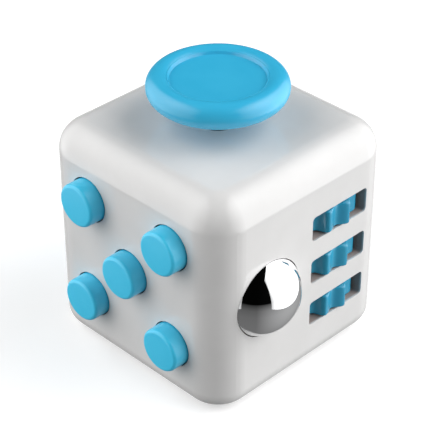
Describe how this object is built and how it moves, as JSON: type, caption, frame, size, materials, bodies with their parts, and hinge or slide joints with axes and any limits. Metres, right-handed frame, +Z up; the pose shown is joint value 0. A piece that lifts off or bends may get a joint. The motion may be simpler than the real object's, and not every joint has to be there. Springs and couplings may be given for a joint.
{
  "type": "fidget cube",
  "caption": "Hand toy cube with push buttons, a tilting thumb disc, a rolling ball, thumb wheels, a flip switch, a spinning dial and a hollowed rubbing face.",
  "frame": {"origin": "centre of the bottom face, on the plane the cube rests on", "axes": "+Z up towards the thumb disc, -Y towards the push buttons, +X towards the ball and wheels, +Y towards the flip switch, -X towards the dial"},
  "size_m": [0.0404, 0.0377, 0.0399],
  "materials": {
    "white_shell": "gloss",
    "blue_control": "satin gloss",
    "chrome_ball": "mirror",
    "steel": "satin",
    "dark_plastic": "matte",
    "nylon": "matte",
    "silicone": "matte",
    "brass_washer": "satin"
  },
  "bodies": {
    "cube": {"housing": "white_shell", "worry_stone_cover": "white_shell", "cover_screws": "steel", "button_keypad": "silicone", "snap_domes": "steel", "button_retainer": "dark_plastic", "retainer_screws": "steel", "gimbal_pins": "steel", "joystick_base": "dark_plastic", "joystick_spring": "steel", "base_screws": "steel", "ball_spring": "steel", "ball_guide": "dark_plastic", "guide_screws": "steel", "wheel_axle": "steel", "wheel_bracket": "dark_plastic", "bracket_screws": "steel", "rocker_pin": "steel", "detent_spring": "steel", "dial_washer": "brass_washer"},
    "gimbal": {"gimbal_ring": "dark_plastic"},
    "joystick": {"joystick_cap": "blue_control", "joystick_shaft": "dark_plastic", "shaft_pin": "steel"},
    "plunger": {"ball_plunger": "nylon"},
    "ball": {"roller_ball": "chrome_ball"},
    "wheel_up": {"upper_wheel": "blue_control"},
    "wheel_mid": {"middle_wheel": "blue_control"},
    "wheel_low": {"lower_wheel": "blue_control"},
    "switch": {"rocker_switch": "blue_control"},
    "dial": {"spin_dial": "blue_control", "dial_spindle": "steel", "dial_clip": "steel"},
    "push_upper_left": {"button_upper_left": "blue_control"},
    "push_upper_right": {"button_upper_right": "blue_control"},
    "push_centre": {"button_centre": "blue_control"},
    "push_lower_left": {"button_lower_left": "blue_control"},
    "push_lower_right": {"button_lower_right": "blue_control"}
  },
  "joints": [
    {"name": "press_upper_left", "type": "slide", "parent": "cube", "child": "push_upper_left", "axis": [0, 1, 0], "range_m": [0, 0.0012], "stiffness_N_per_m": 900, "deforming": ["button_keypad", "snap_domes"]},
    {"name": "press_upper_right", "type": "slide", "parent": "cube", "child": "push_upper_right", "axis": [0, 1, 0], "range_m": [0, 0.0012], "stiffness_N_per_m": 900, "deforming": ["button_keypad"]},
    {"name": "press_centre", "type": "slide", "parent": "cube", "child": "push_centre", "axis": [0, 1, 0], "range_m": [0, 0.0012], "stiffness_N_per_m": 900, "deforming": ["button_keypad", "snap_domes"]},
    {"name": "press_lower_left", "type": "slide", "parent": "cube", "child": "push_lower_left", "axis": [0, 1, 0], "range_m": [0, 0.0012], "stiffness_N_per_m": 900, "deforming": ["button_keypad"]},
    {"name": "press_lower_right", "type": "slide", "parent": "cube", "child": "push_lower_right", "axis": [0, 1, 0], "range_m": [0, 0.0012], "stiffness_N_per_m": 900, "deforming": ["button_keypad", "snap_domes"]},
    {"name": "joystick_fore_aft", "type": "hinge", "parent": "cube", "child": "gimbal", "pos_m": [0, 0, 0.026], "axis": [1, 0, 0], "range_deg": [-9, 9], "stiffness_Nm_per_rad": 0.05, "deforming": ["joystick_spring"]},
    {"name": "joystick_side", "type": "hinge", "parent": "gimbal", "child": "joystick", "pos_m": [0, 0, 0.026], "axis": [0, 1, 0], "range_deg": [-9, 9], "stiffness_Nm_per_rad": 0.05, "deforming": ["joystick_spring"]},
    {"name": "ball_press", "type": "slide", "parent": "cube", "child": "plunger", "axis": [-1, 0, 0], "range_m": [0, 0.0008], "stiffness_N_per_m": 1500, "deforming": ["ball_spring"]},
    {"name": "ball_roll", "type": "hinge", "parent": "plunger", "child": "ball", "pos_m": [0.0142, -0.00715, 0.016], "axis": [0, 1, 0], "continuous": true},
    {"name": "wheel_up_spin", "type": "hinge", "parent": "cube", "child": "wheel_up", "pos_m": [0.01097, 0.0062, 0.02262], "axis": [0, 0, 1], "continuous": true},
    {"name": "wheel_mid_spin", "type": "hinge", "parent": "cube", "child": "wheel_mid", "pos_m": [0.01097, 0.0062, 0.0157], "axis": [0, 0, 1], "continuous": true},
    {"name": "wheel_low_spin", "type": "hinge", "parent": "cube", "child": "wheel_low", "pos_m": [0.01097, 0.0062, 0.00878], "axis": [0, 0, 1], "continuous": true},
    {"name": "switch_flip", "type": "hinge", "parent": "cube", "child": "switch", "pos_m": [0, 0.0136, 0.0165], "axis": [1, 0, 0], "range_deg": [0, 24], "deforming": ["detent_spring"]},
    {"name": "dial_spin", "type": "hinge", "parent": "cube", "child": "dial", "pos_m": [-0.0165, 0, 0.0165], "axis": [-1, 0, 0], "continuous": true}
  ]
}
